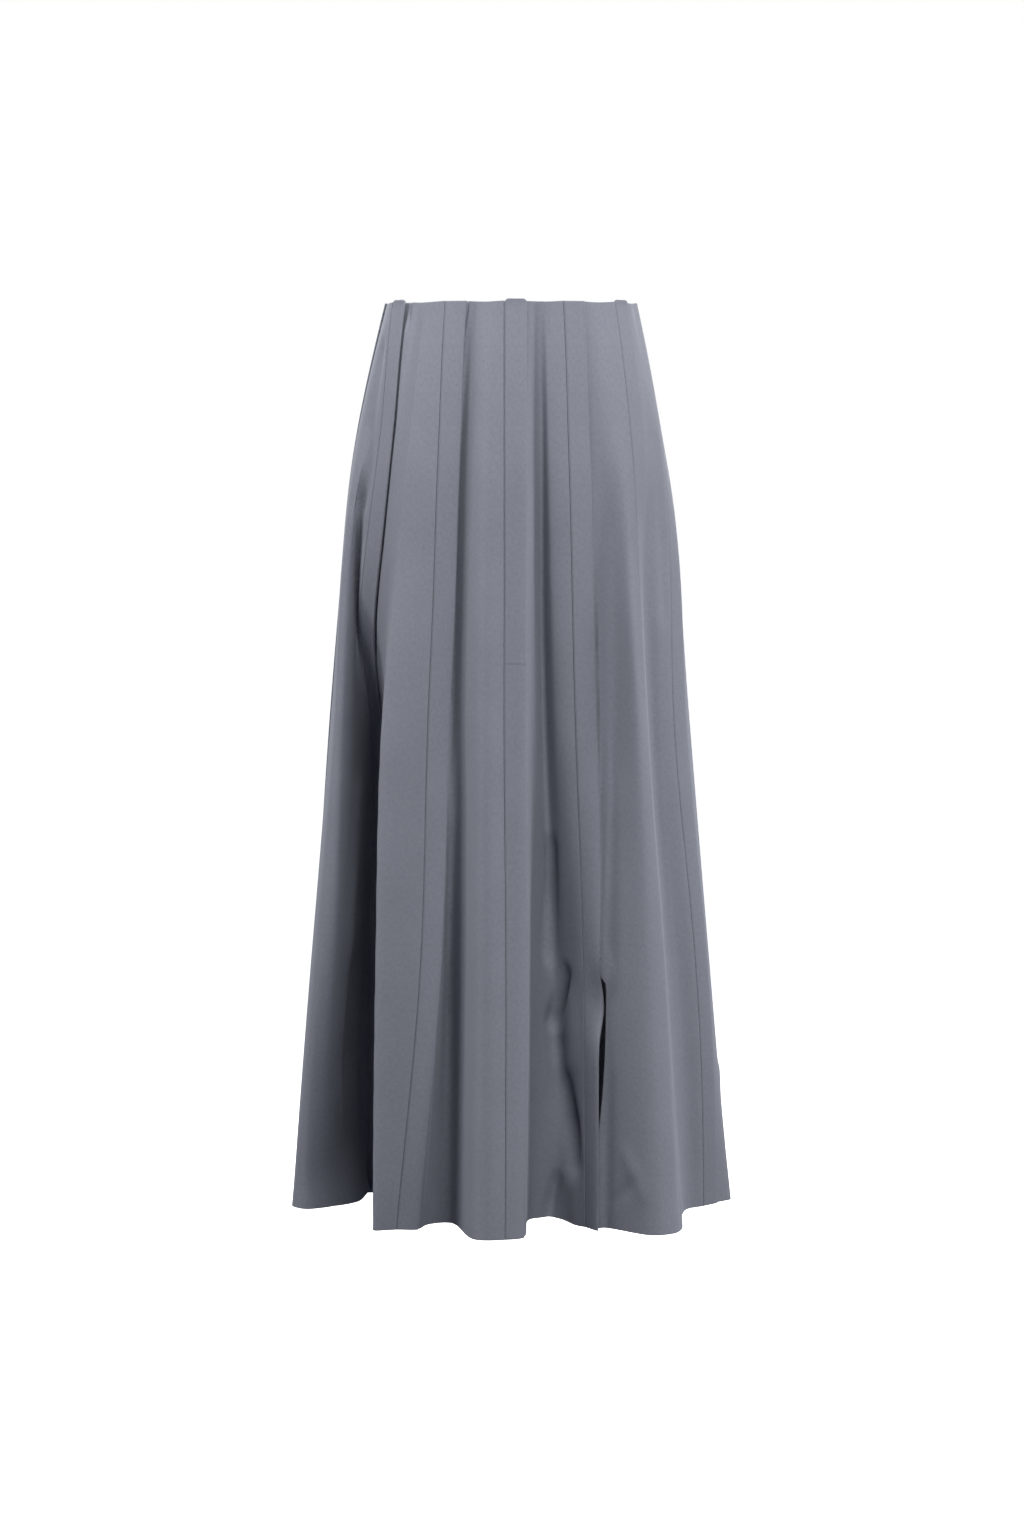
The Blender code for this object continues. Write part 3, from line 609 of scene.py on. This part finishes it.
def buildStrip(gore):
    radius = strip["edgeRadius"]
    rise = strip["rise"] if gore % 2 == 0 else 0.0
    rows = rowDepths(-rise, radius)
    depths, edgeDrop = rows[:, 0], rows[:, 1]
    arc = roundEdge(radius)
    middle = np.linspace(2 * radius, strip["width"] - 2 * radius, strip["columns"])
    columns = [(seamGap + inward, drop) for inward, drop in arc]
    columns += [(place, 0.0) for place in middle]
    columns += [(strip["width"] - inward, drop) for inward, drop in reversed(arc)]
    along = np.repeat(np.array([place for place, drop in columns])[None, :], len(depths), axis=0)
    drop = np.maximum(np.array([fall for place, fall in columns])[None, :], edgeDrop[:, None])
    if rise:
        corner = strip["cornerRadius"]
        near = np.clip(corner - (depths + rise), 0.0, corner)
        inset = corner - np.sqrt(corner ** 2 - near ** 2)
        along = along + inset[:, None] * (1.0 - 2.0 * along / strip["width"])
    points, normals = clothGrid(gore, along, depths)
    top = np.zeros_like(along)
    if gore == slitSeam:
        top = np.array([[slitStand(place, depth) for place in row] for row, depth in zip(along, depths)])
    outer = points + (top - drop)[..., None] * normals
    behind = points + (top - strip["wall"] + drop)[..., None] * normals
    spread = np.stack([along, -np.repeat(depths[:, None], along.shape[1], axis=1)], axis=-1)
    material = clothOfJoinedStrip if gore == joinedSeam else clothOfStrips
    piece = thickSheet(f"tuck_{gore + 1:02d}", outer, behind, spread, material)
    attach(piece, "root")
    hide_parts(f"strip_{gore + 1:02d}")


for gore in range(goreCount):
    buildGore(gore)
    buildStrip(gore)
    print("gore and strip", gore + 1)


zipper = {
    "seam": 8,
    "top": 16.0,                 # depth of the first tooth
    "bottom": 198.0,
    "pitch": 1.6,
    "tooth": (1.7, 0.8, 0.9),    # across, along and thick
    "toothRound": 0.2,
    "offset": 0.55,              # from the seam to the middle of a tooth, left and right in turn
    "level": -5.4,               # below the cloth's own level, just inside the tape
    "stop": (4.2, 3.0, 1.6),
    "stopBelow": 2.0,
}
zipPaint = {
    "surface": {"Coat Weight": 0.25, "Coat Roughness": 0.3},
    "colour": (0.150, 0.158, 0.190),
    "bare": (0.46, 0.46, 0.47),
    "chipScale": 900.0,
    "chipDetail": 4.0,
    "chipEdges": (0.66, 0.72),
    "chipDepth": 0.6,
    "hazeScale": 240.0,
    "roughness": 0.34,
    "roughnessSpread": 0.3,
    "reliefStrength": 0.2,
    "reliefDepth": 0.0001,
}
zipTape = {
    "surface": {"Sheen Weight": 0.1},
    "dark": (0.085, 0.090, 0.110),
    "light": (0.150, 0.156, 0.185),
    "ribPitch": 0.0011,
    "ribSlant": 0.5,
    "ribShare": 0.6,
    "fuzzScale": 700.0,
    "fuzzDetail": 3.0,
    "roughness": 0.75,
    "roughnessSpread": 0.2,
    "reliefStrength": 0.4,
    "reliefDepth": 0.00015,
}


def paintMaterial():
    material, wire, shader = newMaterial("zipPaint", zipPaint["surface"])
    place = wire.node("TexCoord", output=3)
    chips = place.noise(zipPaint["chipScale"], detail=zipPaint["chipDetail"]).step(*zipPaint["chipEdges"])
    haze = place.noise(zipPaint["hazeScale"])
    bump = wire.node("Bump", inputs={"Height": haze - chips * zipPaint["chipDepth"],
                                     "Strength": zipPaint["reliefStrength"],
                                     "Distance": zipPaint["reliefDepth"]})
    roughness = zipPaint["roughness"] + (haze - 0.5) * zipPaint["roughnessSpread"]
    colour = chips.mix((*zipPaint["colour"], 1.0), (*zipPaint["bare"], 1.0))
    feed(wire, shader, {"Base Color": colour, "Metallic": chips, "Roughness": roughness, "Normal": bump})
    return material


def tapeMaterial():
    material, wire, shader = newMaterial("zipTape", zipTape["surface"])
    place = wire.node("TexCoord", output=3)
    across = wire.node("SeparateXYZ", inputs={0: place}, output=0)
    up = wire.node("SeparateXYZ", inputs={0: place}, output=2)
    turn = 2 * math.pi / zipTape["ribPitch"]
    slant = up * zipTape["ribSlant"]
    ribs = ((across + slant) * turn).sine() * ((across - slant) * turn).sine() * 0.5 + 0.5
    fuzz = place.noise(zipTape["fuzzScale"], detail=zipTape["fuzzDetail"])
    shade = ribs * zipTape["ribShare"] + fuzz * (1.0 - zipTape["ribShare"])
    bump = wire.node("Bump", inputs={"Height": shade, "Strength": zipTape["reliefStrength"],
                                     "Distance": zipTape["reliefDepth"]})
    roughness = zipTape["roughness"] + (fuzz - 0.5) * zipTape["roughnessSpread"]
    colour = shade.mix((*zipTape["dark"], 1.0), (*zipTape["light"], 1.0))
    feed(wire, shader, {"Base Color": colour, "Roughness": roughness, "Normal": bump})
    return material


def addTooth(form, size, place):
    made = bmesh.ops.create_cube(form, size=1.0, matrix=place @ Matrix.Diagonal((*size, 1.0)))
    edges = list({edge for vertex in made["verts"] for edge in vertex.link_edges})
    bmesh.ops.bevel(form, geom=edges, offset=zipper["toothRound"] * mm, segments=1, profile=0.5,
                    affect="EDGES", material=-1)


def buildTeeth(material):
    count = int((zipper["bottom"] - zipper["top"]) / zipper["pitch"])
    depths = [zipper["top"] + zipper["pitch"] * turn for turn in range(count)]
    depths = np.array(depths + [zipper["bottom"] + zipper["stopBelow"]])
    offsets = np.array([(-1) ** turn * zipper["offset"] for turn in range(count)] + [0.0])
    points, normals = clothGrid(zipper["seam"], offsets[:, None], depths)
    form = bmesh.new()
    for turn in range(count + 1):
        normal = Vector(normals[turn, 0])
        across = Vector((0.0, 0.0, 1.0)).cross(normal).normalized()
        up = normal.cross(across)
        spot = (Vector(points[turn, 0]) + normal * zipper["level"]) * mm
        place = Matrix.Translation(spot) @ Matrix((across, up, normal)).transposed().to_4x4()
        size = zipper["tooth"] if turn < count else zipper["stop"]
        addTooth(form, [side * mm for side in size], place)
    teeth = pieceFrom("zip_teeth", form, material, sharpAngle=40.0)
    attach(teeth, "root")


paint = paintMaterial()
finishes = {"zip_tape": tapeMaterial(), "zip_slider": paint, "zip_tab": paint}
for name, material in finishes.items():
    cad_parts[name].material_slots[0].material = material
buildTeeth(paint)
print("zip ready")


def buildFloor():
    form = bmesh.new()
    bmesh.ops.create_grid(form, x_segments=1, y_segments=1, size=studio["floorHalf"])
    bmesh.ops.translate(form, vec=(0.0, 0.0, studio["floorHeight"]), verts=form.verts)
    material = newMaterial("floorPaint", studio["floorSurface"])[0]
    floor = pieceFrom("floor", form, material)
    floor.visible_diffuse = False
    floor.visible_glossy = False


def softBox(name, bearing, height, size, power):
    # a lamp on a circle round the skirt, at a bearing from the camera's side and an angle of height
    aim = Vector(studio["aim"])
    turn, tilt = math.radians(bearing), math.radians(height)
    way = Vector((math.sin(turn) * math.cos(tilt), -math.cos(turn) * math.cos(tilt), math.sin(tilt)))
    light = bpy.data.lights.new(name, "AREA")
    light.shape = "RECTANGLE"
    light.size, light.size_y = size
    light.energy = power
    lamp = bpy.data.objects.new(name, light)
    lamp.location = aim + way * studio["lampDistance"]
    lamp.rotation_euler = (-way).to_track_quat("-Z", "Y").to_euler()
    bpy.context.scene.collection.objects.link(lamp)


studio = {
    "floorHeight": -1.30,
    "floorHalf": 40.0,
    "floorSurface": {"Base Color": (0.9, 0.9, 0.9, 1.0), "Roughness": 0.8,
                     "Emission Color": (1.0, 1.0, 1.0, 1.0), "Emission Strength": 1.0},
    "backdrop": (1.0, 1.0, 1.0),
    "worldStrength": 0.05,
    "worldTint": (0.45, 0.55, 1.0),          # colour of the weak light that fills the folds
    "cameraPlace": (0.001, -4.1, -0.12),
    "cameraTilt": 4.915,
    "cameraLens": 94.27,
    "cameraSensor": 36.0,
    "aim": (0.0, 0.0, -0.35),
    "lampDistance": 2.9,
}
# name, bearing, height, size and power of each soft box
lamps = (
    ("key", 18.0, 20.0, (1.4, 1.2), 47.0),
    ("overhead", 0.0, 78.0, (1.6, 1.2), 78.0),
    ("left", -60.0, 46.0, (1.1, 1.1), 34.0),
    ("lowLeft", -90.0, 3.0, (0.7, 1.4), 22.0),
    ("right", 90.0, 5.0, (0.9, 1.5), 46.0),
    ("backLeft", 215.0, 20.0, (1.2, 1.6), 34.0),
    ("backRight", 150.0, 24.0, (1.4, 1.2), 40.0),
)

buildFloor()
for name, bearing, height, size, power in lamps:
    softBox(name, bearing, height, size, power)

world = bpy.data.worlds.new("whiteStudio")
world.use_nodes = True
bpy.context.scene.world = world
air = Wire(world.node_tree)
seen = air.node("LightPath")                 # output 0: the ray comes straight from the camera
backdrop = world.node_tree.nodes["Background"]
tint = seen.mix((*studio["worldTint"], 1.0), (*studio["backdrop"], 1.0))
glow = seen * (1.0 - studio["worldStrength"]) + studio["worldStrength"]
feed(air, backdrop, {"Color": tint, "Strength": glow})

camera = bpy.data.objects.new("camera", bpy.data.cameras.new("camera"))
camera.data.lens = studio["cameraLens"]
camera.data.sensor_width = studio["cameraSensor"]
camera.location = studio["cameraPlace"]
camera.rotation_euler = (math.radians(90.0 - studio["cameraTilt"]), 0.0, 0.0)
bpy.context.scene.collection.objects.link(camera)
bpy.context.scene.camera = camera
bpy.context.scene.view_settings.view_transform = "Standard"
print("studio ready")
